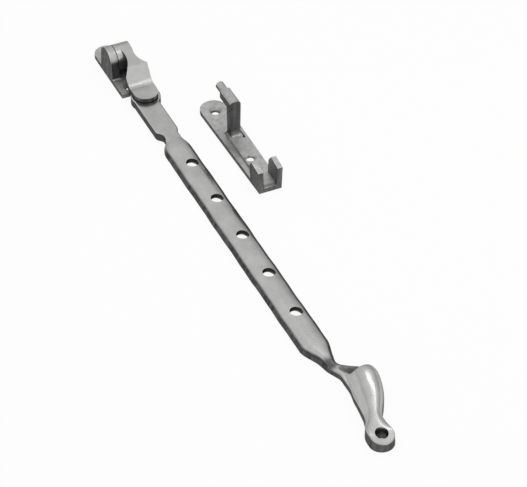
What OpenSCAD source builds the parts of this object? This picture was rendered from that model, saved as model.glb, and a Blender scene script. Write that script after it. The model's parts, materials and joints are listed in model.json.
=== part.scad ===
// Casement stay: a peg arm with a bulb handle on a swivelling knuckle, and the keeper it locks on.
// The arm lies along +X from the hinge pin, flat back down on z = 0. The line through the swivel,
// the peg holes and the tip eye is y = 0. The origin is on the mounting face, under the hinge pin.

/* [Arm] */
// Distance from the swivel axis to the middle of the tip eye, which spaces the peg holes
arm_run = 268.85; // [230:0.05:320]
// Distance from the swivel axis to the first peg hole
first_hole_run = 59.65; // [56:0.05:70]
// Number of peg holes
hole_count = 5; // [3:1:6]
// Diameter of the peg holes
peg_hole_d = 6; // [5:0.1:7]
// Width of the bar
bar_w = 14.1; // [12.6:0.1:18]
// Thickness of the bar along its crown
bar_t = 4.8; // [4.4:0.1:6]
// Thickness of the bar at its long edges
bar_edge_t = 2.6; // [2.2:0.1:3.6]
// Sideways offset of the bar from the line of its holes
bar_shift = 1.3; // [0:0.1:1.6]
// Width of the hollow along the underside of the bar
trough_w = 10.6; // [8:0.1:11]
// Depth of the hollow along the underside of the bar
trough_depth = 1.9; // [0.5:0.1:2.1]
// Width of the flat shank beside the swivel
shank_w = 11.7; // [9.5:0.1:12.4]
// Thickness of the flat shank and its round boss
shank_t = 4.6; // [4:0.1:6]
// Distance from the swivel axis to the end of the full shank
shank_run = 30.8; // [24:0.1:36]
// Length of the slope from the shank into the waist
notch_run = 2.4; // [1:0.1:4]
// Length of the waist between the shank and the bar
waist_run = 2.7; // [1.5:0.1:5]
// Width of the waist
waist_w = 7.8; // [6:0.1:9]
// Length over which the waist widens to the full bar
flare_run = 10; // [8:0.1:12]
// Diameter of the round boss under the knuckle
boss_d = 15.2; // [13.5:0.1:16.5]

/* [Handle] */
// Distance from the last peg hole to the end of the full bar
bar_end_run = 21; // [12:0.1:26]
// Distance from the last peg hole to the thinnest point of the neck
neck_run = 38.5; // [34:0.1:50]
// Width of the neck
neck_w = 5.3; // [4:0.1:7]
// Distance from the neck to the widest point of the bulb
bulb_run = 16; // [14:0.1:22]
// Width of the bulb
bulb_w = 14.8; // [13:0.1:18]
// Height of the bulb
bulb_h = 11.6; // [10:0.1:16]
// Sideways offset of the bulb from the line of holes
bulb_shift = 7.9; // [5:0.1:10]
// Radius of the hollow behind the bulb
handle_hollow_r = 7; // [6:0.1:9]
// Distance from the neck to the lowest line of the hollow
handle_hollow_run = 5.8; // [5:0.1:7]
// Depth of the hollow below the crown of the bar
handle_hollow_dip = 0.2; // [0.1:0.1:0.8]
// Thickness of the edges of the handle beside the bulb
handle_edge_t = 3.8; // [3:0.1:4.4]
// Distance from the bulb to the eye at the tip
eye_run = 34.7; // [30:0.1:45]
// Diameter of the tip eye
eye_d = 11.5; // [10.6:0.1:15]
// Sideways offset of the tip eye from the line of holes
eye_shift = 0.5; // [0:0.1:1]
// Diameter of the hole in the tip eye
eye_hole_d = 5.4; // [4:0.1:6]
// Thickness of the tip eye at its middle
eye_t = 6.1; // [5.2:0.1:7]
// Downward slope of the top of the tip eye, in degrees
eye_slope = 13; // [0:0.5:16]
// Radius that the tip eye gains from its top to its foot
eye_draft = 0.3; // [0.1:0.05:0.6]

/* [Knuckle] */
// Diameter of the knuckle barrel
barrel_d = 14.2; // [13:0.1:16]
// Length of the knuckle barrel along the pin
barrel_l = 8.6; // [7.6:0.1:10]
// Distance from the line of holes to the ear side of the barrel
barrel_side = 5.3; // [4.6:0.1:6]
// Diameter of the hinge pin
pin_d = 4.5; // [3.5:0.1:5.5]
// Width of the web at the ear side of the line of holes
web_ear_side = 2; // [1.6:0.1:3]
// Width of the web at the other side of the line of holes
web_far_side = 2.8; // [2:0.1:3]
// Distance from the hinge pin to the thinnest point of the web
web_run = 7.5; // [6:0.1:9]
// Radius of the scoop at the ear side of the web
scoop_r = 17; // [14:0.1:24]
// Radius of the scoop at the other side of the web
far_scoop_r = 12; // [10:0.1:16]
// Width of the tab that covers the boss
tab_w = 12.8; // [11.6:0.1:13.4]
// Thickness of the flat end of the tab
tab_t = 2.2; // [1.8:0.1:3]
// Distance from the swivel axis back to the crease above the tab
crease_back = 12.6; // [11.4:0.1:14]
// Drop of the top of the web from the barrel to the crease
crease_drop = 2; // [1:0.1:3]
// Radius of the hollow that runs from the crease into the tab
hollow_r = 6; // [4:0.1:7]
// Distance from the swivel axis back to the start of the flat tab
hollow_back = 3.9; // [3:0.1:5]
// Diameter of the swivel stud
stud_d = 5; // [4:0.1:6]
// Depth of the flared ends of the pin and the stud
flare_depth = 1.2; // [0.8:0.1:1.6]
// Radius that the flared ends gain
flare_gain = 1.1; // [0.6:0.1:1.4]

/* [Bracket] */
// Thickness of the bracket plate
plate_t = 2.5; // [2:0.1:4]
// Width of the bracket plate
plate_w = 13; // [12:0.1:16]
// Distance between the screw holes of the bracket
bracket_pitch = 31; // [29:0.1:40]
// Distance from the near screw hole to the square end of the plate
plate_end = 5.4; // [5:0.1:8]
// Thickness of the ear
ear_t = 4; // [3:0.1:5]
// Length that the ear gains at its foot, at each end
ear_foot = 0.8; // [0.2:0.1:2]
// Diameter of the screw holes
screw_d = 4; // [3:0.1:4.6]
// Diameter of the countersinks
sink_d = 7; // [5.6:0.1:8]

/* [Keeper] */
// Gap between the bar and the keeper that lies beside it
keeper_gap = 15.2; // [8:0.1:30]
// Distance from the swivel axis to the first keeper screw hole
keeper_start = 23.75; // [10:0.05:60]
// Thickness of the keeper plate
keeper_t = 2.5; // [2:0.1:3.5]
// Width of the keeper at its round end
keeper_w = 14; // [12.6:0.1:16]
// Distance from the first screw hole to the middle of the round end
round_back = 1.9; // [0:0.1:4]
// Width of the keeper at its fork end
fork_w = 12; // [11.2:0.1:14]
// Distance between the screw holes of the keeper
keeper_pitch = 42.7; // [39:0.1:50]
// Distance from the second screw hole to the fork end
fork_end = 23.9; // [20:0.1:30]
// Length of the fork prongs along the keeper
fork_l = 10.6; // [8:0.1:13]
// Height of the peaks of the fork prongs
fork_h = 14; // [13.2:0.1:18]
// Distance from the fork end to the peaks of the prongs
peak_run = 8; // [5:0.1:9]
// Height of the prongs at the fork end
prong_end_h = 12.6; // [10:0.1:13]
// Height of the prongs at their other end
prong_back_h = 10.6; // [8:0.1:12]
// Distance that the tops of the prongs stand further apart than their feet, at each side
prong_splay = 0.6; // [0:0.1:1]
// Width of the slot between the prongs
slot_w = 6.6; // [6:0.1:7.4]
// Thickness of the raised rib between the post and the fork
rib_t = 1.2; // [0.8:0.1:2]
// Distance from the end of the rib to the fork end
rib_end = 1.6; // [0.5:0.1:4]
// Width of the post at its foot
post_w = 5; // [4.2:0.1:5.6]
// Width of the arm that carries the peg
peg_arm_w = 5.8; // [5.2:0.1:6.4]
// Sideways offset of the post from the line of the screw holes
post_shift = 1; // [0:0.1:1.2]
// Depth of the post along the keeper
post_l = 4.2; // [3.4:0.1:6]
// Distance from the first screw hole to the middle of the post
post_run = 20.7; // [18:0.1:24]
// Height of the post
post_h = 23.6; // [20:0.1:30]
// Radius of the hollows at the foot of the post
post_foot_r = 2.8; // [1.5:0.1:3.2]
// Length of the arm that carries the peg, from the near face of the post
peg_arm_l = 12.4; // [9:0.1:15]
// Height of the arm that carries the peg
peg_arm_h = 4.9; // [4.8:0.1:6.4]
// Radius of the rounded top of the arm and post
arm_round = 1.8; // [1:0.1:2.2]
// Diameter of the peg
peg_d = 4.4; // [4:0.1:4.7]
// Length of the peg
peg_l = 7; // [5:0.1:9]
// Width of the chamfer at the end of the peg
peg_chamfer = 0.5; // [0.2:0.1:1]
// Diameter of the countersinks of the keeper
keeper_sink_d = 6.4; // [5.2:0.1:6.4]

/* [Fits] */
// Radial clearance of the turning fits
turn_clear = 0.06; // [0.03:0.01:0.1]
// Clearance between faces that pass each other
face_clear = 0.35; // [0.3:0.05:0.6]

/* [Hidden] */
$fn = 96;
overcut = 1;
seam = 0.05;
foot_sink = 0.2;
metal = "silver";
arc_steps = 10;

// Hinge
barrel_r = barrel_d / 2;
pin_z = plate_t + face_clear + barrel_r;
barrel_far_y = barrel_l - barrel_side;
ear_y = -barrel_side - face_clear - ear_t;
plate_y = ear_y + plate_w / 2;
plate_near = bracket_pitch / 2 + plate_end;

// Flared ends keep their clearance square to their sloping sides
flare_clear = face_clear * sqrt(2);
pin_bore_d = pin_d + 2 * turn_clear;
stud_bore_d = stud_d + 2 * turn_clear;

// Swivel and arm
swivel_x = plate_near + face_clear + boss_d / 2;
seat_z = shank_t + face_clear;
tab_z = seat_z + tab_t;
shank_x = swivel_x + shank_run;
waist_x = shank_x + notch_run + waist_run;
first_hole_x = swivel_x + first_hole_run;
eye_x = swivel_x + arm_run;
bulb_x = eye_x - eye_run;
neck_x = bulb_x - bulb_run;
last_hole_x = neck_x - neck_run;
bar_end_x = last_hole_x + bar_end_run;
hole_pitch = (last_hole_x - first_hole_x) / (hole_count - 1);
trough_r = (pow(trough_w / 2, 2) + pow(trough_depth, 2)) / (2 * trough_depth);

// Keeper
keeper_x = swivel_x + keeper_start;
keeper_y = bar_w / 2 - bar_shift + keeper_gap + keeper_w / 2;
fork_x = keeper_pitch + fork_end;
rib_z = keeper_t + rib_t;
post_near_x = post_run + post_l / 2;
peg_x = post_near_x - peg_arm_l;

// Cylinder along +Y that starts at the given point
module rod_y(start, d, l) {
    translate(start)
        rotate([-90, 0, 0])
            cylinder(d = d, h = l);
}

// Flat shape in X and Z, spread over the given range of Y
module spread_y(low, high) {
    translate([0, high, 0])
        rotate([90, 0, 0])
            linear_extrude(high - low)
                children();
}

// Countersunk screw hole through a plate of thickness t
module screw_hole(t, sink) {
    sink_h = (sink - screw_d) / 2;
    translate([0, 0, -overcut])
        cylinder(d = screw_d, h = t + 2 * overcut);
    translate([0, 0, t - sink_h])
        cylinder(d1 = screw_d, d2 = sink + 2 * overcut, h = sink_h + overcut);
}

// Plate with one ear, cast in one piece
module bracket() {
    color(metal)
        difference() {
            union() {
                linear_extrude(plate_t)
                    bracket_outline();
                spread_y(ear_y, ear_y + ear_t)
                    ear_outline();
            }
            for (x = [-bracket_pitch / 2, bracket_pitch / 2])
                translate([x, plate_y, 0])
                    screw_hole(plate_t, sink_d);
            rod_y([0, ear_y - overcut, pin_z], pin_d, ear_t + 2 * overcut);
        }
}

module bracket_outline() {
    translate([-bracket_pitch / 2, plate_y])
        circle(d = plate_w);
    translate([-bracket_pitch / 2, ear_y])
        square([bracket_pitch / 2 + plate_near, plate_w]);
}

module ear_outline() {
    foot = barrel_r + ear_foot;
    translate([0, pin_z])
        circle(r = barrel_r);
    polygon([[-foot, 0], [foot, 0], [barrel_r, pin_z], [-barrel_r, pin_z]]);
}

// Pin fixed in the ear, with a flared end that keeps the knuckle on
module hinge_pin() {
    color(metal) {
        rod_y([0, ear_y, pin_z], pin_d, barrel_far_y - ear_y);
        translate([0, barrel_far_y, pin_z])
            rotate([90, 0, 0])
                cylinder(d1 = pin_d + 2 * flare_gain, d2 = pin_d, h = flare_depth);
    }
}

// Knuckle: a barrel, a scooped web that steps down to a round tab, and a stud below the tab
module swivel_link() {
    color(metal)
        difference() {
            union() {
                rod_y([0, -barrel_side, pin_z], barrel_d, barrel_l);
                intersection() {
                    spread_y(-tab_w, tab_w)
                        link_side();
                    linear_extrude(pin_z + barrel_d)
                        link_plan();
                }
                stud();
            }
            pin_room();
        }
}

// Web and tab seen from the side, in X and Z
module link_side() {
    crown_z = pin_z + barrel_r;
    tab_x = swivel_x + tab_w / 2;
    crease = [swivel_x - crease_back, crown_z - crease_drop];
    hollow = [swivel_x - hollow_back, tab_z + hollow_r];
    reach = hollow - crease;
    slope_angle = atan2(reach[1], reach[0]) - asin(hollow_r / norm(reach));
    polygon(concat(
        [[0, seat_z], [0, crown_z - seam], crease],
        [for (a = steps(slope_angle - 90, -90, arc_steps)) hollow + hollow_r * [cos(a), sin(a)]],
        [[tab_x, tab_z], [tab_x, seat_z]]
    ));
}

// Web and tab seen from above, in X and Y
module link_plan() {
    translate([swivel_x, 0])
        circle(d = tab_w);
    difference() {
        polygon([
            [0, -tab_w / 2],
            [swivel_x, -tab_w / 2],
            [swivel_x, tab_w / 2],
            [web_run, tab_w / 2],
            [web_run, barrel_far_y],
            [0, barrel_far_y],
        ]);
        translate([web_run, -web_ear_side - scoop_r])
            circle(r = scoop_r);
        translate([web_run, web_far_side + far_scoop_r])
            circle(r = far_scoop_r);
    }
}

// Space for the pin in the barrel, with room for its flared end
module pin_room() {
    rod_y([0, -barrel_side - overcut, pin_z], pin_bore_d, barrel_l + 2 * overcut);
    translate([0, barrel_far_y, pin_z])
        rotate([90, 0, 0])
            cylinder(
                d1 = pin_d + 2 * (flare_gain + flare_clear),
                d2 = pin_bore_d,
                h = flare_depth + flare_clear
            );
}

// Stud below the tab, with a flared end that keeps the arm on
module stud() {
    translate([swivel_x, 0, face_clear]) {
        cylinder(d = stud_d, h = seat_z - face_clear + tab_t / 2);
        cylinder(d1 = stud_d + 2 * flare_gain, d2 = stud_d, h = flare_depth);
    }
}

// Space for the stud in the boss, with room for its flared end
module stud_room() {
    translate([swivel_x, 0, -overcut])
        cylinder(d = stud_bore_d, h = shank_t + 2 * overcut);
    translate([swivel_x, 0, 0])
        cylinder(
            d1 = stud_d + 2 * (flare_gain + face_clear + flare_clear),
            d2 = stud_bore_d,
            h = face_clear + flare_depth + flare_clear
        );
}

function steps(a, b, n) = [for (k = [0:n]) a + (b - a) * k / n];
function mix(a, b, s) = a + (b - a) * s;

// Row with its position changed
function moved(row, x) = concat([x], [for (i = [1:len(row) - 1]) row[i]]);

// Rows between two rows, at the given shares of each column
function between(a, b, shares) = [for (s = shares) [for (i = [0:len(a) - 1]) mix(a[i], b[i], s[i])]];

// Roundness of the neck, flat ledges beside the dome, and depth of the handle's end below the eye's top
neck_round = 0.4;
neck_ledge = 0.25;
bulb_ledge = 0.06;
eye_sink = 0.5;
waist_low = -(waist_w + bar_shift) / 2;
waist_high = (waist_w - bar_shift) / 2;
eye_low = -eye_shift - eye_d / 2;

// Stations of the arm: x, low y, high y, edge height, crown height, roundness from camber to dome,
// share of the width that stays flat as a ledge beside the dome
waist_row = [
    waist_x, waist_low + seam, waist_high - seam, shank_t - 2 * seam, shank_t - seam, 0, seam,
];
flare_row = [
    waist_x + flare_run, -bar_shift - bar_w / 2, bar_w / 2 - bar_shift, bar_edge_t, bar_t, 0, seam,
];
bar_row = moved(flare_row, bar_end_x);
neck_row = [
    neck_x, -neck_w / 2, neck_w / 2, (bar_edge_t + handle_edge_t) / 2, bar_t, neck_round, neck_ledge,
];
bulb_row = [
    bulb_x, bulb_shift - bulb_w / 2, bulb_shift + bulb_w / 2, handle_edge_t, bulb_h, 1, bulb_ledge,
];
eye_row = [
    eye_x, eye_low + 2 * seam, eye_low + eye_d - 2 * seam, eye_t - eye_sink - seam, eye_t - eye_sink, 0, seam,
];

// Shares of the way from the waist to the bar, to the neck, to the bulb and to the eye
flare_shares = [
    [0.25, 0.2, 0.2, 0.4, 0.2, 0, 0],
    [0.6, 0.8, 0.8, 0.85, 0.6, 0, 0],
];
narrow_shares = [
    [0.64, 0.73, 0.77, 0.5, 0, 0.4, 0.5],
];
swell_shares = [
    [0.25, 0.55, 0.3, 0.3, 0.06, 0.3, 0.2],
    [0.5, 1, 0.73, 0.6, 0.55, 0.8, 0.4],
    [0.75, 1, 0.94, 0.9, 0.9, 1, 0.7],
];
taper_shares = [
    [0.2, 0.154, 0.15, 0, 0.07, 0, 1],
    [0.33, 0.215, 0.31, 0.05, 0.17, 0.05, 1],
    [0.48, 0.31, 0.57, 0.15, 0.33, 0.2, 1],
    [0.6, 0.415, 0.83, 0.3, 0.47, 0.4, 1],
    [0.7, 0.585, 1.01, 0.5, 0.585, 0.6, 1],
    [0.81, 0.877, 1.04, 0.8, 0.71, 0.85, 1],
    [0.9, 0.99, 1.02, 0.95, 0.83, 1, 1],
];
stations = concat(
    [moved(waist_row, waist_x - waist_run / 2), waist_row],
    between(waist_row, flare_row, flare_shares),
    [flare_row, moved(flare_row, first_hole_x), bar_row],
    between(bar_row, neck_row, narrow_shares),
    [neck_row],
    between(neck_row, bulb_row, swell_shares),
    [bulb_row],
    between(bulb_row, eye_row, taper_shares),
    [eye_row]
);

// Value of column i at position x, on a smooth curve through the stations
function slope(k, i) =
    k == 0 || k == len(stations) - 1 ? 0
    : (stations[k + 1][i] - stations[k - 1][i]) / (stations[k + 1][0] - stations[k - 1][0]);
function level(k, i) =
    stations[k][i] == stations[k - 1][i] || stations[k][i] == stations[k + 1][i] ? 0 : slope(k, i);
function span_of(x, k = 0) = k >= len(stations) - 2 || x <= stations[k + 1][0] ? k : span_of(x, k + 1);
function curve(a, b, ma, mb, h, s) =
    (1 + 2 * s) * (1 - s) * (1 - s) * a + s * (1 - s) * (1 - s) * h * ma
    + s * s * (3 - 2 * s) * b + s * s * (s - 1) * h * mb;
function value(x, i) =
    let (k = span_of(x), h = stations[k + 1][0] - stations[k][0], s = (x - stations[k][0]) / h)
    curve(stations[k][i], stations[k + 1][i], level(k, i), level(k + 1, i), h, s);

// Crown of a cross-section at s, from -1 at its low y edge to 1 at its high y edge
side_steps = 10;
flare_steps = 10;
narrow_steps = 14;
handle_steps = 40;
camber_power = 2.8;
flank_power = 2;
crest = 0.25;
function camber(s) = 1 - pow(abs(s), camber_power);
function dome(s, ledge) =
    s > crest ? sqrt(max(0, 1 - pow((s - crest) / (1 - crest), 2)))
    : 1 - pow(min(1, (crest - s) / (1 + crest - 2 * ledge)), flank_power);

// Positions across the crown, from its high y edge over the crest and the ledge to its low y edge
function across(ledge) = concat(
    [for (k = [0:side_steps]) mix(crest, 1, cos(90 * k / side_steps))],
    [for (k = [1:side_steps]) mix(crest, 2 * ledge - 1, sin(90 * k / side_steps))],
    [-1]
);

// Cross-section at x: flat back, upright edges and a crowned top
function section(x) =
    let (
        low = value(x, 1),
        high = value(x, 2),
        edge = value(x, 3),
        rise = value(x, 4) - edge,
        round = value(x, 5),
        ledge = value(x, 6)
    )
    concat(
        [[x, low, 0], [x, high, 0]],
        [for (s = across(ledge))
            let (top = mix(camber(s), dome(s, ledge), round))
            [x, mix(low, high, (1 + s) / 2), edge + rise * top]]
    );

// Solid through the cross-sections at the given positions
module loft(xs) {
    n = len(section(xs[0]));
    m = len(xs);
    points = [for (x = xs) each section(x)];
    sides = [for (i = [0:m - 2]) for (k = [0:n - 1])
        let (a = i * n + k, b = i * n + (k + 1) % n)
        each [[a, a + n, b + n], [a, b + n, b]]];
    start_cap = [[for (k = [0:n - 1]) k]];
    end_cap = [[for (k = [n - 1:-1:0]) (m - 1) * n + k]];
    polyhedron(points, concat(sides, start_cap, end_cap), convexity = 6);
}

// Peg arm: boss, shank, cambered bar, neck, bulb and eye in one piece
module stay_arm() {
    color(metal)
        difference() {
            union() {
                linear_extrude(shank_t)
                    shank_outline();
                loft(concat(
                    [waist_x - waist_run / 2],
                    steps(waist_x, waist_x + flare_run, flare_steps),
                    [first_hole_x],
                    steps(bar_end_x, neck_x, narrow_steps),
                    [for (x = steps(neck_x, eye_x, handle_steps)) if (x > neck_x) x]
                ));
                tip_eye();
            }
            for (k = [0:hole_count - 1])
                translate([first_hole_x + k * hole_pitch, 0, -overcut])
                    cylinder(d = peg_hole_d, h = bar_t + 2 * overcut);
            bar_trough();
            handle_hollow();
            translate([eye_x, -eye_shift, -overcut])
                cylinder(d = eye_hole_d, h = 2 * eye_t + 2 * overcut);
            stud_room();
        }
}

// Boss, shank, notch and waist seen from above
module shank_outline() {
    low = -bar_shift - shank_w / 2;
    high = shank_w / 2 - bar_shift;
    translate([swivel_x, 0])
        circle(d = boss_d);
    polygon([
        [swivel_x, low],
        [shank_x, low],
        [shank_x + notch_run, waist_low],
        [waist_x, waist_low],
        [waist_x, waist_high],
        [shank_x + notch_run, waist_high],
        [shank_x, high],
        [swivel_x, high],
    ]);
}

// Hollow along the underside of the bar, with round ends past the end holes
module bar_trough() {
    near_x = first_hole_x - trough_w / 2;
    far_x = last_hole_x + trough_w / 2;
    translate([near_x, -bar_shift, trough_depth - trough_r]) {
        rotate([0, 90, 0])
            cylinder(r = trough_r, h = far_x - near_x);
        for (x = [0, far_x - near_x])
            translate([x, 0, 0])
                sphere(r = trough_r);
    }
}

// Hollow behind the bulb, square to the bar
module handle_hollow() {
    translate([neck_x + handle_hollow_run, 0, bar_t - handle_hollow_dip + handle_hollow_r])
        rotate([90, 0, 0])
            cylinder(r = handle_hollow_r, h = 4 * bulb_w, center = true);
}

// Round eye with drafted sides and a sloping top
module tip_eye() {
    tall = 2 * eye_t;
    difference() {
        translate([eye_x, -eye_shift, 0])
            cylinder(d1 = eye_d + 2 * eye_draft, d2 = eye_d - 2 * eye_draft, h = tall);
        translate([eye_x, -eye_shift, eye_t])
            rotate([0, eye_slope, 0])
                translate([-eye_d, -eye_d, 0])
                    cube([2 * eye_d, 2 * eye_d, tall]);
    }
}

// Keeper: plate, post with its peg, rib and fork, cast in one piece
module keeper() {
    color(metal)
        translate([keeper_x, keeper_y, 0])
            difference() {
                union() {
                    linear_extrude(keeper_t)
                        keeper_outline();
                    translate([0, post_shift, 0])
                        keeper_post();
                    keeper_rib();
                    fork();
                }
                screw_hole(keeper_t, keeper_sink_d);
                translate([keeper_pitch, 0, 0])
                    screw_hole(rib_z, keeper_sink_d);
            }
}

module keeper_outline() {
    translate([-round_back, 0])
        circle(d = keeper_w);
    polygon([
        [-round_back, -keeper_w / 2],
        [fork_x, -fork_w / 2],
        [fork_x, fork_w / 2],
        [-round_back, keeper_w / 2],
    ]);
}

// Flat shape in Y and Z, spread from x = 0 to the given length
module spread_x(l) {
    rotate([90, 0, 90])
        linear_extrude(l)
            children();
}

// Post with an arm that ends in the peg
module keeper_post() {
    peg_z = post_h - peg_arm_h / 2;
    intersection() {
        spread_y(-keeper_w, keeper_w)
            post_side();
        spread_x(fork_x)
            post_front();
    }
    translate([peg_x, 0, peg_z])
        rotate([0, -90, 0]) {
            translate([0, 0, -post_l])
                cylinder(d = peg_d, h = post_l + peg_l - peg_chamfer);
            translate([0, 0, peg_l - peg_chamfer])
                cylinder(d1 = peg_d, d2 = peg_d - 2 * peg_chamfer, h = peg_chamfer);
        }
}

// Post and arm seen from the side, in X and Z, with a hollow foot on the rib
module post_side() {
    translate([post_near_x - post_l, 0])
        square([post_l, post_h]);
    translate([peg_x, post_h - peg_arm_h])
        square([peg_arm_l, peg_arm_h]);
    difference() {
        translate([post_near_x - post_l / 2, 0])
            square([post_l / 2 + post_foot_r, rib_z + post_foot_r]);
        translate([post_near_x + post_foot_r, rib_z + post_foot_r])
            circle(r = post_foot_r);
    }
}

// Post seen along the keeper: a hollow foot on the plate, tapered sides and rounded top corners
module post_front() {
    foot = post_w / 2 + post_foot_r;
    foot_z = keeper_t - foot_sink + post_foot_r;
    difference() {
        translate([-foot, 0])
            square([2 * foot, foot_z]);
        for (side = [-1, 1])
            translate([side * foot, foot_z])
                circle(r = post_foot_r);
    }
    polygon([
        [-post_w / 2, 0],
        [post_w / 2, 0],
        [peg_arm_w / 2, post_h - peg_arm_h],
        [peg_arm_w / 2, post_h - arm_round],
        [peg_arm_w / 2 - arm_round, post_h],
        [arm_round - peg_arm_w / 2, post_h],
        [-peg_arm_w / 2, post_h - arm_round],
        [-peg_arm_w / 2, post_h - peg_arm_h],
    ]);
    for (side = [-1, 1])
        translate([side * (peg_arm_w / 2 - arm_round), post_h - arm_round])
            circle(r = arm_round);
}

module keeper_rib() {
    translate([post_run, -slot_w / 2, 0])
        cube([fork_x - rib_end - post_run, slot_w, rib_z]);
}

// Two prongs that splay apart and fall from their peaks towards both ends
module fork() {
    intersection() {
        spread_y(-fork_w, fork_w)
            prong_side();
        spread_x(fork_x)
            for (side = [-1, 1])
                scale([side, 1])
                    prong_front();
    }
}

module prong_side() {
    polygon([
        [fork_x - fork_l, 0],
        [fork_x, 0],
        [fork_x, prong_end_h],
        [fork_x - peak_run, fork_h],
        [fork_x - fork_l, prong_back_h],
    ]);
}

module prong_front() {
    polygon([
        [slot_w / 2, 0],
        [fork_w / 2, 0],
        [fork_w / 2 + prong_splay, fork_h],
        [slot_w / 2 + prong_splay, fork_h],
    ]);
}

bracket();
hinge_pin();
swivel_link();
stay_arm();
keeper();
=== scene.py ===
"""Casement stay and its keeper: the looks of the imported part, in metres, in the part's own frame."""

import json
import math

import bmesh
import bpy
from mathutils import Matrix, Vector


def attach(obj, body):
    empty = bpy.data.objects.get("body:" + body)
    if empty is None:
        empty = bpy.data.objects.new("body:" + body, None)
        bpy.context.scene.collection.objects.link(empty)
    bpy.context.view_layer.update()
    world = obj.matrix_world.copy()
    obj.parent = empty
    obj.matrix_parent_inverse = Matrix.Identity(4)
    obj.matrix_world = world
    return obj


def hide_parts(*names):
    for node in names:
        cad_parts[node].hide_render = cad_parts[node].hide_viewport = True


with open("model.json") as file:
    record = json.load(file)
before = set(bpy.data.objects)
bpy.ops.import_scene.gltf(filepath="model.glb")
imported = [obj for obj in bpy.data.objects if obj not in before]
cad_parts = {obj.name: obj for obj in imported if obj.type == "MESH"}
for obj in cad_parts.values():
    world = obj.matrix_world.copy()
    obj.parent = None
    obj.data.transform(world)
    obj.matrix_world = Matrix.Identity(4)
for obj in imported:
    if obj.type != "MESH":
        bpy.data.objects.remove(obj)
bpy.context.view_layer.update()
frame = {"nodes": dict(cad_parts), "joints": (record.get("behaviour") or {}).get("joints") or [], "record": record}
scene = bpy.context.scene
scene.view_settings.view_transform = "Standard"
MM = 0.001

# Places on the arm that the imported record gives, in millimetres
mounts = {m["name"]: [c / MM for c in m["pos_m"]] for m in frame["record"]["mounts"]}
joints = {j["name"]: [c / MM for c in j["pos_m"]] for j in frame["joints"]}
PEG_HOLES = [mounts[f"peg_hole_{k}"] for k in range(1, 6)]
FIRST_X, LAST_X = PEG_HOLES[0][0], PEG_HOLES[-1][0]
SWIVEL_X = joints["arm_lift"][0]
EYE_X, EYE_Y = mounts["tip_eye"][:2]

# Sizes of the arm, in millimetres, as in the part's source
PEG_HOLE_R, EYE_HOLE_R = 3.0, 2.7
BAR_W, BAR_T, BAR_EDGE_T, BAR_SHIFT = 14.1, 4.8, 2.6, 1.3
SHANK_W, SHANK_T, BOSS_R = 11.7, 4.6, 7.6
SHANK_X = SWIVEL_X + 30.8
NOTCH_X = SHANK_X + 2.4
WAIST_X = NOTCH_X + 2.7
WAIST_W = 7.8
FLARE_X = WAIST_X + 10
BAR_END_X = LAST_X + 21
NECK_X = LAST_X + 38.5
NECK_W = 5.3
BULB_X = NECK_X + 16
BULB_W, BULB_H, BULB_SHIFT = 14.8, 11.6, 7.9
HANDLE_EDGE_T = 3.8
HOLLOW_R, HOLLOW_RUN, HOLLOW_DIP = 7, 5.8, 0.2
EYE_R, EYE_T, EYE_SLOPE, EYE_DRAFT = 5.75, 6.1, math.radians(13), 0.3
STUD_BORE_R, STUD_SINK_R, STUD_SINK_H = 2.56, 4.445, 2.05
CREST, CAMBER_POWER, FLANK_POWER, FAR_POWER = 0.12, 2.8, 2.6, 2.3
TOP_ROUND, FOOT_ROUND = 0.55, 0.3
TROUGH_W, TROUGH_DEPTH = 10.6, 1.9
TROUGH_R = ((TROUGH_W / 2) ** 2 + TROUGH_DEPTH ** 2) / (2 * TROUGH_DEPTH)

# Finer forms of the arm, in millimetres
DOME_FILLET, HOLLOW_FILLET, FILED_DEPTH = 0.3, 0.5, 0.09
DRAFT_START, DRAFT_RUN = 10, 6
PEG_FOOT_R, PEG_FOOT_LOW, PEG_FOOT_HIGH = 3.75, TROUGH_DEPTH - 0.3, 3
PEG_RIM, PEG_RIM_SPREAD = 0.5, 0.4
EYE_FOOT, EYE_RIM, EYE_RIM_SPREAD = 0.3, 1.0, 0.7
STUD_SINK_SPREAD, STUD_BORE_TOP = 0.9, 6
CUT_FROM = -1

# Sizes of the keeper, in millimetres
PLATE_Z, RIB_Z, KEEPER_Y = 2.5, 3.7, 27.95
POST_X, FORK_X, KEEPER_HOLE_X = SWIVEL_X + 44.45, SWIVEL_X + 79.7, SWIVEL_X + 66.45
SCREW_R, SCREW_FOOT_R, SCREW_FOOT_Z = 2.0, 4.3, 1.7
# Reach of the painted shade at the foot of the post
POST_FOOT_H, POST_FOOT_RUN, RIGHT_FOOT_RUN, RIGHT_FOOT_Y = 4, 2.4, 5.2, 3.3
POST_EDGE_MIN, POST_LIMIT_X = 5, 90

# Angles in degrees: edges kept crisp, edges that are rounded, facets taken as flat
ARM_CRISP, CASTING_CRISP, ROUNDED_FROM, FLAT_WITHIN = 38, 40, 26, 0.8

# Colours of the finish, with the painted shade inside holes, and its fine height in metres
PIT_COLOUR, WORN_METAL, HOLE_SHADE_COLOUR = (0.03, 0.03, 0.031, 1), (0.7, 0.698, 0.69, 1), (0.018, 0.018, 0.018, 1)
EDGE_TINT, BUMP_STRENGTH, BUMP_DISTANCE = (0.5, 0.5, 0.5, 1), 0.4, 0.00002

# Marks on the arm: widths of the painted shade along its edges in millimetres, and shares of painted shade at the
# neck, of wear, and of painted shade in the eye
LEFT_EDGE_W, RIGHT_EDGE_W, SHANK_EDGE_W = 1.7, 2.2, 0.9
NECK_SHADE, BULB_WEAR, SHANK_WEAR, EYE_HOLE_SHADE = 0.85, 0.3, 0.9, 0.4

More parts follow.
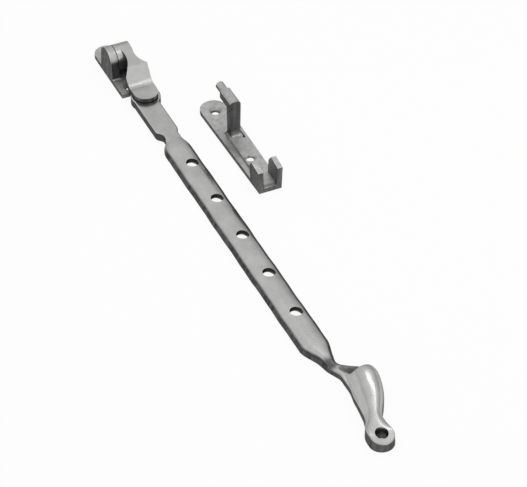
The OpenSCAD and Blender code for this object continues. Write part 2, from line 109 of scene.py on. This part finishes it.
# Studio and camera, in metres and degrees
FLOOR_HALF, FLOOR_X, FLOOR_DROP, FLOOR_TONE, FLOOR_WHITE = 6, 0.15, 0.00002, 0.92, 0.92
SKY_LEVELS = [
    (0, 0.5), (0.17, 0.56), (0.34, 0.63), (0.5, 0.73), (0.64, 0.88), (0.77, 0.93), (0.94, 0.9), (1, 0.86),
]
CAMERA_AIM, CAMERA_DISTANCE = (0.153635, 0.008478, 0), 1.285011
CAMERA_AZIMUTH, CAMERA_ELEVATION = 65.4417, 40.4915
SENSOR_W, FOCAL_PIXELS, PICTURE_W = 36, 2700, 527


def mix(a, b, s):
    """Value at share s of the way from a to b."""
    return a + (b - a) * s


def ease(t):
    """Share from 0 to 1 that starts and ends gently."""
    t = min(1, max(0, t))
    return t * t * (3 - 2 * t)


def between(a, b, shares):
    """Stations from a to b, each column at its own share of the way."""
    return [[mix(p, q, t) for p, q, t in zip(a, b, row)] for row in shares]


# Stations of the arm: x, low y, high y, edge height, crown height, roundness, ledge
waist = [
    WAIST_X, -(WAIST_W + BAR_SHIFT) / 2, (WAIST_W - BAR_SHIFT) / 2, SHANK_T - 0.01, SHANK_T, 0, 0.05,
]
flare = [FLARE_X, -BAR_SHIFT - BAR_W / 2, BAR_W / 2 - BAR_SHIFT, BAR_EDGE_T, BAR_T, 0, 0.05]
first = [FIRST_X] + flare[1:]
bar_end = [BAR_END_X] + flare[1:]
neck = [NECK_X, -NECK_W / 2, NECK_W / 2, (BAR_EDGE_T + HANDLE_EDGE_T) / 2, BAR_T, 0.4, 0.25]
bulb = [BULB_X, BULB_SHIFT - BULB_W / 2, BULB_SHIFT + BULB_W / 2, HANDLE_EDGE_T, BULB_H, 1, 0.06]
eye = [EYE_X, EYE_Y - EYE_R, EYE_Y + EYE_R, EYE_T - 0.05, EYE_T, 0, 0.05]
stations = (
    [[NOTCH_X] + waist[1:], waist]
    + between(waist, flare, [[0.25, 0.2, 0.2, 0.4, 0.2, 0, 0], [0.6, 0.8, 0.8, 0.85, 0.6, 0, 0]])
    + [flare, first, bar_end]
    + between(bar_end, neck, [[0.64, 0.73, 0.77, 0.5, 0, 0.4, 0.5]])
    + [neck]
    + between(neck, bulb, [
        [0.25, 0.55, 0.3, 0.3, 0.06, 0.3, 0.2],
        [0.5, 1, 0.73, 0.6, 0.55, 0.8, 0.4],
        [0.75, 1, 0.94, 0.9, 0.9, 1, 0.7],
    ])
    + [bulb]
    + between(bulb, eye, [
        [0.2, 0.154, 0.15, 0, 0.07, 0, 1],
        [0.33, 0.215, 0.31, 0.05, 0.18, 0.05, 1],
        [0.48, 0.31, 0.57, 0.15, 0.35, 0.2, 1],
        [0.6, 0.415, 0.83, 0.3, 0.49, 0.4, 1],
        [0.7, 0.585, 1.01, 0.5, 0.61, 0.6, 1],
        [0.81, 0.877, 1.04, 0.8, 0.745, 0.85, 1],
        [0.9, 0.99, 1.02, 0.95, 0.86, 1, 1],
    ])
    + [eye]
)


def slope(k, i):
    """Slope of column i at station k, level where the column stays the same.

    The heights run on into the eye at its slope.
    """
    if k in (0, len(stations) - 1):
        return -math.tan(EYE_SLOPE) if k and i in (3, 4) else 0
    a, b, c = stations[k - 1], stations[k], stations[k + 1]
    return 0 if b[i] in (a[i], c[i]) else (c[i] - a[i]) / (c[0] - a[0])


def value(x, i):
    """Column i at position x, on a smooth curve through the stations."""
    k = 0
    while k < len(stations) - 2 and x > stations[k + 1][0]:
        k += 1
    a, b = stations[k], stations[k + 1]
    h = b[0] - a[0]
    s = min(1, max(0, (x - a[0]) / h))
    return (
        (1 + 2 * s) * (1 - s) ** 2 * a[i] + s * (1 - s) ** 2 * h * slope(k, i)
        + s * s * (3 - 2 * s) * b[i] + s * s * (s - 1) * h * slope(k + 1, i)
    )


def arc(r, d):
    """Height of a circle of radius r at distance d from its middle."""
    return math.sqrt(max(0, r * r - d * d))


def outline(x):
    """Low and high y of the arm at x, seen from above."""
    if x >= WAIST_X:
        if x <= EYE_X:
            return value(x, 1), value(x, 2)
        half = arc(EYE_R, x - EYE_X)
        return EYE_Y - half, EYE_Y + half
    half = arc(BOSS_R, x - SWIVEL_X)
    if x < SWIVEL_X:
        return -half, half
    t = min(1, max(0, (x - SHANK_X) / (NOTCH_X - SHANK_X)))
    low = mix(-BAR_SHIFT - SHANK_W / 2, waist[1], t)
    high = mix(SHANK_W / 2 - BAR_SHIFT, waist[2], t)
    return min(low, -half), max(high, half)


def hand_filed(x, start):
    """Slight waviness of the bar's edges."""
    along_bar = ease((x - FLARE_X) / 8) * ease((BAR_END_X - x) / 8)
    return FILED_DEPTH * along_bar * (math.sin(x * 0.17 + start) + 0.6 * math.sin(x * 0.41 + 2 * start))


def eased_outline(x):
    """The outline with its edges as filed, and its shoulders rounded where the shank meets the waist."""
    if not SHANK_X - 2 < x < WAIST_X + 2:
        low, high = outline(x)
        return low + hand_filed(x, 0.7), high + hand_filed(x, 2.9)
    near = [outline(x + d) for d in (-1, -0.5, 0, 0.5, 1)]
    return sum(p[0] for p in near) / 5, sum(p[1] for p in near) / 5


def soft_min(a, b, reach):
    """The lesser of two heights, with a fillet where they meet."""
    h = max(0, reach - abs(a - b)) / reach
    return min(a, b) - h * h * reach / 4


def dome(s, ledge):
    """Share of the dome's height at s, with a fillet where its flank meets the ledge."""
    if s > CREST:
        return math.sqrt(max(0, 1 - ((s - CREST) / (1 - CREST)) ** FAR_POWER))
    return -soft_min(((CREST - s) / (1 + CREST - 2 * ledge)) ** FLANK_POWER - 1, 0, DOME_FILLET)


def hollow(x):
    """Height of the hollow behind the bulb, or far above the arm where there is none."""
    along = x - NECK_X - HOLLOW_RUN
    if abs(along) >= HOLLOW_R:
        return 99
    return BAR_T - HOLLOW_DIP + HOLLOW_R - arc(HOLLOW_R, along)


def arm_top(x, y, low, high):
    """Height of the top of the arm, with its edges rounded."""
    s = min(1, max(-1, (2 * y - low - high) / max(1e-6, high - low)))
    rim = min(y - low, high - y)
    if x > EYE_X:
        z = EYE_T - (x - EYE_X) * math.tan(EYE_SLOPE)
        rim = EYE_R - math.hypot(x - EYE_X, y - EYE_Y)
    elif x < WAIST_X:
        z = SHANK_T
        if x < SWIVEL_X:
            rim = BOSS_R - math.hypot(x - SWIVEL_X, y)
    else:
        edge, crown, rounded, ledge = (value(x, i) for i in (3, 4, 5, 6))
        z = edge + (crown - edge) * mix(1 - abs(s) ** CAMBER_POWER, dome(s, ledge), rounded)
        if x > BAR_END_X:
            z = soft_min(z, hollow(x), HOLLOW_FILLET)
    rim = max(0, rim)
    return z - (TOP_ROUND - arc(TOP_ROUND, TOP_ROUND - rim) if rim < TOP_ROUND else 0)


def trough(x, y):
    """Height of the hollow along the underside of the bar, which ends round past the end holes."""
    past = max(FIRST_X - TROUGH_W / 2 - x, x - LAST_X - TROUGH_W / 2, 0)
    return max(0, arc(TROUGH_R, math.hypot(past, y + BAR_SHIFT)) + TROUGH_DEPTH - TROUGH_R)


# Spacing of the points of the arm: from its rims in, across its top and back, and from its ends in
RIM_STEPS = (0, 0.02, 0.08, 0.18, 0.33, 0.55, 0.85)
TOP_STEPS, BACK_STEPS = 30, 24
END_STEPS = (0.004, 0.03, 0.1, 0.2, 0.35, 0.55)
FOOT_CURVE = 0.29
TURN_STEPS = 72


def arm_ring(x):
    """Points round the arm at x: foot, side, top from low y to high y, side, foot and back."""
    low, high = eased_outline(x)
    wide = high - low
    draft = EYE_DRAFT * min(1, max(0, (x - EYE_X + DRAFT_START) / DRAFT_RUN))
    steps = [d * min(1, wide / 4) for d in RIM_STEPS]
    inner = [mix(low + steps[-1], high - steps[-1], k / TOP_STEPS) for k in range(1, TOP_STEPS)]
    ys = [low + d for d in steps] + inner + [high - d for d in reversed(steps)]
    foot = min(FOOT_ROUND, wide / 8)
    left, right = low - draft, high + draft
    bend = foot * FOOT_CURVE
    ring = [(left + foot, 0), (left + bend, bend), (left, foot)]
    ring += [(y, arm_top(x, y, low, high)) for y in ys]
    ring += [(right, foot), (right - bend, bend), (right - foot, 0)]
    back = [mix(right - foot, left + foot, k / BACK_STEPS) for k in range(1, BACK_STEPS)]
    ring += [(y, trough(x, y)) for y in back]
    return [Vector((x, y, z)) * MM for y, z in ring]


def spaced(a, b, step):
    """Even positions from a up to b, about a step apart and without b."""
    n = max(1, round((b - a) / step))
    return [mix(a, b, k / n) for k in range(n)]


def arm_places():
    """Positions along the arm, closer together where its shape changes."""
    start, end = SWIVEL_X - BOSS_R, EYE_X + EYE_R
    xs = [start + d for d in END_STEPS[:-1]]
    xs += spaced(start + END_STEPS[-1], SWIVEL_X + BOSS_R, 0.45) + spaced(SWIVEL_X + BOSS_R, SHANK_X - 2, 1)
    xs += spaced(SHANK_X - 2, FLARE_X, 0.35) + spaced(FLARE_X, BAR_END_X, 0.8)
    xs += spaced(BAR_END_X, NECK_X, 0.6) + spaced(NECK_X, EYE_X, 0.35)
    xs += spaced(EYE_X, end - END_STEPS[-1], 0.3)
    return xs + [end - d for d in reversed(END_STEPS)]


def finished(bm, name, body, node):
    """Makes a piece of a bmesh: it stands for a node of the part and moves with its body."""
    mesh = bpy.data.meshes.new(name)
    bm.to_mesh(mesh)
    bm.free()
    piece = bpy.data.objects.new(name, mesh)
    scene.collection.objects.link(piece)
    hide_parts(node)
    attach(piece, body)
    return piece


def turned(bm, place, profile):
    """Spins a profile of (radius, height) about an upright axis, in millimetres."""
    x, y = place
    verts = [bm.verts.new(Vector((x + r, y, z)) * MM) for r, z in profile]
    edges = [bm.edges.new(pair) for pair in zip(verts, verts[1:])]
    bmesh.ops.spin(
        bm, geom=verts + edges, cent=Vector((x, y, 0)) * MM, axis=(0, 0, 1),
        angle=math.tau, steps=TURN_STEPS, use_merge=True,
    )
    bmesh.ops.remove_doubles(bm, verts=bm.verts, dist=1e-7)


def hole_profile(r, foot, top, lead, spread):
    """Straight hole with an eased upper rim. Its foot, a radius and two heights, opens out below."""
    wide, low, high = foot
    return [
        (0, CUT_FROM), (wide, CUT_FROM), (wide, low), (r, high),
        (r, top - lead), (r + spread, top + lead), (0, top + lead),
    ]


def arm_mesh():
    """Arm lofted ring by ring from the boss to the eye."""
    bm = bmesh.new()
    place = bm.verts.layers.int.new("place")
    xs = arm_places()
    start = arm_ring(xs[0])
    verts = [bm.verts.new(p) for p in start]
    for k, v in enumerate(verts):
        v[place] = k
    edges = [bm.edges.new((verts[k - 1], verts[k])) for k in range(len(verts))]
    bmesh.ops.contextual_create(bm, geom=edges)
    for x in xs[1:]:
        grown = bmesh.ops.extrude_edge_only(bm, edges=edges)["geom"]
        ring = arm_ring(x)
        for v in grown:
            if isinstance(v, bmesh.types.BMVert):
                v.co = ring[v[place]]
        edges = [e for e in grown if isinstance(e, bmesh.types.BMEdge) and len(e.link_faces) == 1]
    bmesh.ops.contextual_create(bm, geom=edges)
    bmesh.ops.recalc_face_normals(bm, faces=bm.faces)
    bm.verts.layers.int.remove(place)
    return bm


def arm_holes():
    """Places and profiles of the peg holes, the eye and the bore for the stud."""
    peg_foot = (PEG_FOOT_R, PEG_FOOT_LOW, PEG_FOOT_HIGH)
    peg_hole = hole_profile(PEG_HOLE_R, peg_foot, BAR_T, PEG_RIM, PEG_RIM_SPREAD)
    eye_foot = (EYE_HOLE_R + EYE_FOOT, 0, EYE_FOOT)
    eye_hole = hole_profile(EYE_HOLE_R, eye_foot, EYE_T, EYE_RIM, EYE_RIM_SPREAD)
    stud_bore = [
        (0, CUT_FROM), (STUD_SINK_R + STUD_SINK_SPREAD, CUT_FROM), (STUD_SINK_R, 0),
        (STUD_BORE_R, STUD_SINK_H), (STUD_BORE_R, STUD_BORE_TOP), (0, STUD_BORE_TOP),
    ]
    holes = [((x, y), peg_hole) for x, y, _ in PEG_HOLES]
    return holes + [((EYE_X, EYE_Y), eye_hole), ((SWIVEL_X, 0), stud_bore)]


def with_modifiers_applied(piece):
    """Gives a piece the mesh that its modifiers make."""
    graph = bpy.context.evaluated_depsgraph_get()
    mesh = bpy.data.meshes.new_from_object(piece.evaluated_get(graph))
    piece.modifiers.clear()
    piece.data = mesh


def shaded(piece, angle):
    """Smooth shading, with edges sharper than the angle kept crisp."""
    for face in piece.data.polygons:
        face.use_smooth = True
    piece.data.set_sharp_from_angle(angle=math.radians(angle))


def cut_away(piece, turnings):
    """Cuts turned shapes, each a place and a profile, out of a piece."""
    bm = bmesh.new()
    for place, profile in turnings:
        turned(bm, place, profile)
    bmesh.ops.recalc_face_normals(bm, faces=bm.faces)
    mesh = bpy.data.meshes.new("cutter")
    bm.to_mesh(mesh)
    bm.free()
    cutter = bpy.data.objects.new("cutter", mesh)
    scene.collection.objects.link(cutter)
    cut = piece.modifiers.new("cut", "BOOLEAN")
    cut.operation = "DIFFERENCE"
    cut.solver = "EXACT"
    cut.object = cutter
    with_modifiers_applied(piece)
    bpy.data.objects.remove(cutter)


def make_arm():
    """The arm with its holes cut."""
    piece = finished(arm_mesh(), "peg_arm", "arm", "stay_arm")
    cut_away(piece, arm_holes())
    shaded(piece, ARM_CRISP)
    return piece


def softened(node, name, body, rounds, turnings=()):
    """Copy of a CAD node with its edges rounded.

    Each round has a width in millimetres, steps, the edges it takes and their wear.
    """
    bm = bmesh.new()
    bm.from_mesh(frame["nodes"][node].data)
    worn = bm.faces.layers.float.new("worn")
    bmesh.ops.remove_doubles(bm, verts=bm.verts, dist=2e-6)
    bmesh.ops.dissolve_limit(
        bm, angle_limit=math.radians(FLAT_WITHIN), verts=bm.verts, edges=bm.edges,
        use_dissolve_boundaries=False,
    )
    for width, steps, chosen, wear in rounds:
        edges = [
            e for e in bm.edges
            if len(e.link_faces) == 2 and e.calc_face_angle() > math.radians(ROUNDED_FROM) and chosen(e)
        ]
        strips = bmesh.ops.bevel(
            bm, geom=edges, offset=width * MM, offset_type="OFFSET", segments=steps, profile=0.5,
            affect="EDGES", clamp_overlap=True, material=-1,
        )["faces"]
        for face in strips:
            face[worn] = wear
    piece = finished(bm, name, body, node)
    if turnings:
        cut_away(piece, turnings)
    shaded(piece, CASTING_CRISP)
    weighted = piece.modifiers.new("weighted", "WEIGHTED_NORMAL")
    weighted.mode = "FACE_AREA"
    weighted.weight = 60
    weighted.keep_sharp = True
    return piece


def inner(edge):
    """Edges in a corner."""
    return not edge.is_convex


def outer(edge):
    """Edges that stand out."""
    return edge.is_convex


def post_corner(edge):
    """Upright outer edges of the keeper's post."""
    a, b = (v.co for v in edge.verts)
    tall = abs(a.z - b.z)
    upright = tall > POST_EDGE_MIN * MM and tall > 0.9 * edge.calc_length()
    return edge.is_convex and upright and max(a.x, b.x) < POST_LIMIT_X * MM


def rib_rim(edge):
    """Upper edges of the keeper's rib."""
    return edge.is_convex and all(abs(v.co.z / MM - RIB_Z) < 0.02 for v in edge.verts)


def plate_finish():
    """Finish of plated metal: colour, roughness and fine height from its marks: casting crust with painted shade,
    wear, and painted shade in holes.
    """
    group = bpy.data.node_groups.new("plate_finish", "ShaderNodeTree")
    sockets = group.interface
    for name in ("Cast", "Worn", "Hole_shade", "Satin", "Clouding"):
        sockets.new_socket(name, in_out="INPUT", socket_type="NodeSocketFloat")
    for name in ("Bright", "Dark"):
        sockets.new_socket(name, in_out="INPUT", socket_type="NodeSocketColor")
    sockets.new_socket("Color", in_out="OUTPUT", socket_type="NodeSocketColor")
    sockets.new_socket("Roughness", in_out="OUTPUT", socket_type="NodeSocketFloat")
    sockets.new_socket("Height", in_out="OUTPUT", socket_type="NodeSocketFloat")
    nodes, links = group.nodes, group.links
    given, out = nodes.new("NodeGroupInput"), nodes.new("NodeGroupOutput")
    where = nodes.new("ShaderNodeTexCoord")

    def noise(scale, detail, stretch=None):
        texture = nodes.new("ShaderNodeTexNoise")
        texture.inputs["Scale"].default_value = scale
        texture.inputs["Detail"].default_value = detail
        place = where.outputs["Object"]
        if stretch:
            mapping = nodes.new("ShaderNodeMapping")
            mapping.inputs["Scale"].default_value = stretch
            links.new(place, mapping.inputs["Vector"])
            place = mapping.outputs["Vector"]
        links.new(place, texture.inputs["Vector"])
        return texture.outputs["Fac"]

    def ranged(source, low, high, to_low, to_high):
        node = nodes.new("ShaderNodeMapRange")
        for key, number in zip(("From Min", "From Max", "To Min", "To Max"), (low, high, to_low, to_high)):
            node.inputs[key].default_value = number
        links.new(source, node.inputs["Value"])
        return node.outputs["Result"]

    def arithmetic(kind, a, b):
        node = nodes.new("ShaderNodeMath")
        node.operation = kind
        for socket, given_value in zip(node.inputs, (a, b)):
            if isinstance(given_value, (int, float)):
                socket.default_value = given_value
            else:
                links.new(given_value, socket)
        return node.outputs["Value"]

    def blend(kind, factor, a, b):
        node = nodes.new("ShaderNodeMix")
        node.data_type = kind
        links.new(factor, node.inputs["Factor"])
        for place, given_value in (("A", a), ("B", b)):
            if isinstance(given_value, (float, tuple)):
                node.inputs[place].default_value = given_value
            else:
                links.new(given_value, node.inputs[place])
        return node.outputs["Result"]

    clouds = noise(110, 6)
    specks = noise(900, 4)
    draw_marks = noise(1500, 3, (0.1, 1, 1))
    streaks = noise(420, 4, (1, 1, 0.16))
    # Wear breaks up along the edges, and takes away the casting crust and its painted shade
    patchy = ranged(noise(260, 5), 0.36, 0.6, 0.35, 1)
    worn = arithmetic("MULTIPLY", given.outputs["Worn"], patchy)
    cast = arithmetic("MULTIPLY", given.outputs["Cast"], arithmetic("SUBTRACT", 1, worn))
    # Colour: clouded plate, streaked and pitted casting crust in a dark colour painted as shade, lighter worn
    # metal
    bright, dark = given.outputs["Bright"], given.outputs["Dark"]
    mottle = arithmetic("MULTIPLY", given.outputs["Clouding"], ranged(noise(330, 5), 0.36, 0.64, 1, 0))
    plate = blend("RGBA", ranged(clouds, 0.35, 0.65, 0.16, 0), bright, dark)
    plate = blend("RGBA", mottle, plate, dark)
    skin_and_shade = blend("RGBA", ranged(streaks, 0.3, 0.66, 0, 0.16), dark, bright)
    skin_and_shade = blend("RGBA", ranged(specks, 0.58, 0.72, 0, 0.5), skin_and_shade, PIT_COLOUR)
    colour = blend("RGBA", cast, plate, skin_and_shade)
    colour = blend("RGBA", arithmetic("MULTIPLY", worn, 0.75), colour, WORN_METAL)
    # Painted shade inside the holes
    colour = blend("RGBA", arithmetic("MULTIPLY", given.outputs["Hole_shade"], 0.9), colour, HOLE_SHADE_COLOUR)
    # Roughness: satin plate, polished wear, dull skin
    satin = arithmetic("MULTIPLY", given.outputs["Satin"], ranged(clouds, 0.3, 0.7, 0.8, 1.2))
    rough = blend("FLOAT", worn, satin, 0.12)
    rough = blend("FLOAT", cast, rough, ranged(specks, 0.35, 0.65, 0.34, 0.5))
    # Height: fine marks of polishing along the plate, pits in the cast skin
    polished = arithmetic("MULTIPLY", draw_marks, 0.5)
    pitted = arithmetic("MULTIPLY", specks, 2.4)
    height = blend("FLOAT", cast, polished, pitted)
    links.new(colour, out.inputs["Color"])
    links.new(rough, out.inputs["Roughness"])
    links.new(height, out.inputs["Height"])
    return group


def plate_material(name, bright, dark, satin, clouding):
    """Plated metal with its finish read from the marks on the mesh."""
    material = bpy.data.materials.new(name)
    material.use_nodes = True
    nodes, links = material.node_tree.nodes, material.node_tree.links
    shader = nodes["Principled BSDF"]
    shader.inputs["Metallic"].default_value = 1
    shader.inputs["Specular Tint"].default_value = EDGE_TINT
    finish = nodes.new("ShaderNodeGroup")
    finish.node_tree = finish_group
    finish.inputs["Bright"].default_value = (*bright, 1)
    finish.inputs["Dark"].default_value = (*dark, 1)
    finish.inputs["Satin"].default_value = satin
    finish.inputs["Clouding"].default_value = clouding
    # Marks read from the mesh: casting crust with painted shade, wear, painted shade in holes
    for mark in ("Cast", "Worn", "Hole_shade"):
        attribute = nodes.new("ShaderNodeAttribute")
        attribute.attribute_name = mark.lower()
        links.new(attribute.outputs["Fac"], finish.inputs[mark])
    bump = nodes.new("ShaderNodeBump")
    bump.inputs["Strength"].default_value = BUMP_STRENGTH
    bump.inputs["Distance"].default_value = BUMP_DISTANCE
    links.new(finish.outputs["Color"], shader.inputs["Base Color"])
    links.new(finish.outputs["Roughness"], shader.inputs["Roughness"])
    links.new(finish.outputs["Height"], bump.inputs["Height"])
    links.new(bump.outputs["Normal"], shader.inputs["Normal"])
    return material


def arm_cast_and_shade(place, up):
    """Painted shade on the arm, with its casting crust: dark on its sides, along the edges of the bar, toward the
    neck and in the hollow behind the bulb; bright on top.
    """
    x, y, z = place
    if x < NECK_X:
        low, high = eased_outline(x)
        on_bar = ease((x - FLARE_X + 6) / 6)
        left_edge = ease(LEFT_EDGE_W - y + low) * on_bar
        right_edge = ease((mix(SHANK_EDGE_W, RIGHT_EDGE_W, on_bar) - high + y) / 0.9)
        toward_neck = NECK_SHADE * ease((x - NECK_X + 7) / 5)
        return max(ease((0.7 - up) / 0.3), left_edge, right_edge, toward_neck)
    ramp = ease((z - hollow(x) + 0.45) / 0.3) if x < NECK_X + HOLLOW_RUN + HOLLOW_R else 0
    neck_top = ease((NECK_X + 4 - x) / 3)
    return max(ease((0.42 - up) / 0.3), NECK_SHADE * ramp, NECK_SHADE * neck_top)


def arm_worn(place, up):
    """Hands polish the bulb, and the edges of the shank are rubbed bright."""
    x = place[0]
    if x > NECK_X + 8:
        return BULB_WEAR * ease((x - NECK_X - 8) / 6) * ease((EYE_X - 6 - x) / 8) * ease((up - 0.4) / 0.3)
    return SHANK_WEAR * ease((up - 0.3) / 0.2) * ease((0.93 - up) / 0.1) if x < SHANK_X else 0


def arm_hole_shade(place, _up):
    """Painted shade inside the peg holes, all the way round, and less inside the eye."""
    x, y, _z = place
    for hole_x, hole_y, _ in PEG_HOLES:
        if math.hypot(x - hole_x, y - hole_y) < PEG_HOLE_R + 0.05:
            return 1
    return EYE_HOLE_SHADE * ease((EYE_HOLE_R + EYE_FOOT - math.hypot(x - EYE_X, y - EYE_Y)) / 0.2)


def plated_arm(piece, material):
    """Marks each point of the arm from 0 to 1: casting crust with painted shade, wear, and painted shade in its
    holes.
    """
    piece.data.materials.clear()
    piece.data.materials.append(material)
    for name, mark in (("cast", arm_cast_and_shade), ("worn", arm_worn), ("hole_shade", arm_hole_shade)):
        layer = piece.data.attributes.new(name, "FLOAT", "POINT")
        for item, vertex in zip(layer.data, piece.data.vertices):
            item.value = mark(vertex.co / MM, vertex.normal.z)


def side_cast_and_shade(_place, normal):
    """Painted shade, with the casting crust, on faces that look sideways or down."""
    return ease((0.52 - normal.z) / 0.3)


def keeper_cast_and_shade(place, normal):
    """Painted shade on the sides of the keeper, with the casting crust: darkest at the hollow foot of its post,
    and lighter on the sides of its rib and on the inner sides of its fork.
    """
    x, y, z = place
    foot_run = RIGHT_FOOT_RUN if y > KEEPER_Y + RIGHT_FOOT_Y else POST_FOOT_RUN
    foot_top = RIB_Z + POST_FOOT_H
    if PLATE_Z + 0.02 < z < foot_top and abs(x - POST_X) < foot_run:
        return ease((0.995 - normal.z) / 0.1)
    if RIB_Z + 0.1 < z < foot_top and abs(x - POST_X) < 6:
        return ease((0.97 - normal.z) / 0.25)
    in_fork = x > FORK_X and (y - KEEPER_Y) * normal.y < -2
    of_rib = x > POST_X and PLATE_Z < z < RIB_Z
    share = 0.3 if of_rib else 0.55 if in_fork else 1
    return side_cast_and_shade(place, normal) * share


def plated(piece, material, side=side_cast_and_shade):
    """Marks each face of a piece from 0, facing up and bright, to 1, a side with casting crust and painted dark as
    shade.
    """
    piece.data.materials.clear()
    piece.data.materials.append(material)
    layer = piece.data.attributes.new("cast", "FLOAT", "FACE")
    for item, face in zip(layer.data, piece.data.polygons):
        item.value = side(face.center / MM, face.normal)


finish_group = plate_finish()
# Bright is the colour of the plate; Dark is painted on the sides as shade, and also clouds the plate
bright_plate = plate_material("bright_plate", (0.56, 0.558, 0.552), (0.05, 0.05, 0.051), 0.25, 0.05)
satin_plate = plate_material("satin_plate", (0.56, 0.558, 0.552), (0.08, 0.08, 0.082), 0.34, 0.08)
cast_plate = plate_material("cast_plate", (0.62, 0.618, 0.612), (0.08, 0.08, 0.082), 0.5, 0.25)
pin_steel = plate_material("pin_steel", (0.46, 0.458, 0.452), (0.07, 0.07, 0.072), 0.3, 0.08)

arm = make_arm()
knuckle = softened("swivel_link", "knuckle", "link", [(0.8, 4, inner, 0), (0.55, 3, outer, 0.8)])
hinge_plate = softened("bracket", "hinge_plate", "base", [(0.7, 4, inner, 0), (0.4, 3, outer, 0.6)])
pin = softened("hinge_pin", "pin", "base", [(0.15, 2, outer, 0.5)])
screw_foot = [
    (0, CUT_FROM), (SCREW_FOOT_R, CUT_FROM), (SCREW_FOOT_R, 0), (SCREW_R, SCREW_FOOT_Z), (0, SCREW_FOOT_Z),
]
peg_keeper = softened(
    "keeper", "peg_keeper", "base",
    [(1.1, 5, post_corner, 0.2), (0.5, 4, rib_rim, 0), (0.6, 4, inner, 0), (0.4, 3, outer, 0.6)],
    [((KEEPER_HOLE_X, KEEPER_Y), screw_foot)],
)
# Painted shade on the sides of every piece, and on the arm along its edges, at its neck and in its holes
plated_arm(arm, bright_plate)
plated(knuckle, satin_plate)
plated(hinge_plate, cast_plate)
plated(peg_keeper, cast_plate, keeper_cast_and_shade)
plated(pin, pin_steel)


def seen_white(nodes, links, share):
    """Share of white for what the camera sees, directly or in the metal."""
    path = nodes.new("ShaderNodeLightPath")
    seen = path.outputs["Is Camera Ray"]
    for ray in ("Is Glossy Ray", "Is Transmission Ray"):
        either = nodes.new("ShaderNodeMath")
        either.operation = "MAXIMUM"
        links.new(seen, either.inputs[0])
        links.new(path.outputs[ray], either.inputs[1])
        seen = either.outputs["Value"]
    part = nodes.new("ShaderNodeMath")
    part.operation = "MULTIPLY"
    part.inputs[1].default_value = share
    links.new(seen, part.inputs[0])
    return part.outputs["Value"]


def make_floor():
    """White floor that keeps a faint shadow."""
    bm = bmesh.new()
    bmesh.ops.create_grid(bm, x_segments=1, y_segments=1, size=FLOOR_HALF)
    bmesh.ops.translate(bm, verts=bm.verts, vec=(FLOOR_X, 0, -FLOOR_DROP))
    mesh = bpy.data.meshes.new("floor")
    bm.to_mesh(mesh)
    bm.free()
    floor = bpy.data.objects.new("floor", mesh)
    scene.collection.objects.link(floor)
    material = bpy.data.materials.new("pale_floor")
    material.use_nodes = True
    nodes, links = material.node_tree.nodes, material.node_tree.links
    shader = nodes["Principled BSDF"]
    shader.inputs["Base Color"].default_value = (FLOOR_TONE, FLOOR_TONE, FLOOR_TONE, 1)
    shader.inputs["Roughness"].default_value = 0.9
    shader.inputs["Specular IOR Level"].default_value = 0
    glow = nodes.new("ShaderNodeEmission")
    both = nodes.new("ShaderNodeMixShader")
    links.new(seen_white(nodes, links, FLOOR_WHITE), both.inputs["Fac"])
    links.new(shader.outputs["BSDF"], both.inputs[1])
    links.new(glow.outputs["Emission"], both.inputs[2])
    links.new(both.outputs["Shader"], nodes["Material Output"].inputs["Surface"])
    floor.data.materials.append(material)


def add_lamp(name, place, aim, size, watts):
    """Oval lamp that the camera doesn't see, in metres and watts."""
    data = bpy.data.lights.new(name, "AREA")
    data.shape = "ELLIPSE"
    data.size, data.size_y = size
    data.energy = watts
    lamp = bpy.data.objects.new(name, data)
    scene.collection.objects.link(lamp)
    lamp.location = place
    lamp.rotation_mode = "QUATERNION"
    lamp.visible_camera = False
    lamp.rotation_quaternion = (Vector(aim) - Vector(place)).to_track_quat("-Z", "Y")


def make_world():
    """Studio sky, dim at the horizon and bright overhead. The camera sees it white."""
    world = bpy.data.worlds.new("studio")
    scene.world = world
    world.use_nodes = True
    nodes, links = world.node_tree.nodes, world.node_tree.links
    where = nodes.new("ShaderNodeTexCoord")
    split = nodes.new("ShaderNodeSeparateXYZ")
    ramp = nodes.new("ShaderNodeValToRGB")
    while len(ramp.color_ramp.elements) < len(SKY_LEVELS):
        ramp.color_ramp.elements.new(0.5)
    for element, (place, level) in zip(ramp.color_ramp.elements, SKY_LEVELS):
        element.position = place
        element.color = (level, level, level, 1)
    path = nodes.new("ShaderNodeLightPath")
    seen = nodes.new("ShaderNodeMix")
    seen.data_type = "RGBA"
    seen.inputs["B"].default_value = (1, 1, 1, 1)
    links.new(where.outputs["Generated"], split.inputs["Vector"])
    links.new(split.outputs["Z"], ramp.inputs["Fac"])
    links.new(path.outputs["Is Camera Ray"], seen.inputs["Factor"])
    links.new(ramp.outputs["Color"], seen.inputs["A"])
    links.new(seen.outputs["Result"], nodes["Background"].inputs["Color"])


def make_camera():
    """Perspective camera as fitted to the photo."""
    data = bpy.data.cameras.new("camera")
    camera = bpy.data.objects.new("camera", data)
    scene.collection.objects.link(camera)
    scene.camera = camera
    azimuth, height = math.radians(CAMERA_AZIMUTH), math.radians(CAMERA_ELEVATION)
    level = math.cos(height)
    back = Vector((math.sin(azimuth) * level, -math.cos(azimuth) * level, math.sin(height)))
    camera.location = Vector(CAMERA_AIM) + back * CAMERA_DISTANCE
    camera.rotation_mode = "QUATERNION"
    camera.rotation_quaternion = (-back).to_track_quat("-Z", "Y")
    data.sensor_width = SENSOR_W
    data.lens = SENSOR_W * FOCAL_PIXELS / PICTURE_W
    data.clip_start, data.clip_end = 0.05, 30


make_floor()
make_world()
add_lamp("overhead", (0.15, 0.1, 2.2), (0.15, 0, 0), (1.5, 1.5), 0.5)
add_lamp("front", (1.42, 0.38, 0.69), (0.1, 0, 0), (0.9, 0.9), 0.9)
add_lamp("side", (-0.63, -0.755, 0.26), (0.27, 0, 0), (0.9, 0.9), 0.3)
add_lamp("handle_light", (0.0772, 0.1538, 0.3529), (0.272, 0.007, 0.011), (0.27, 0.06), 0.1)
make_camera()
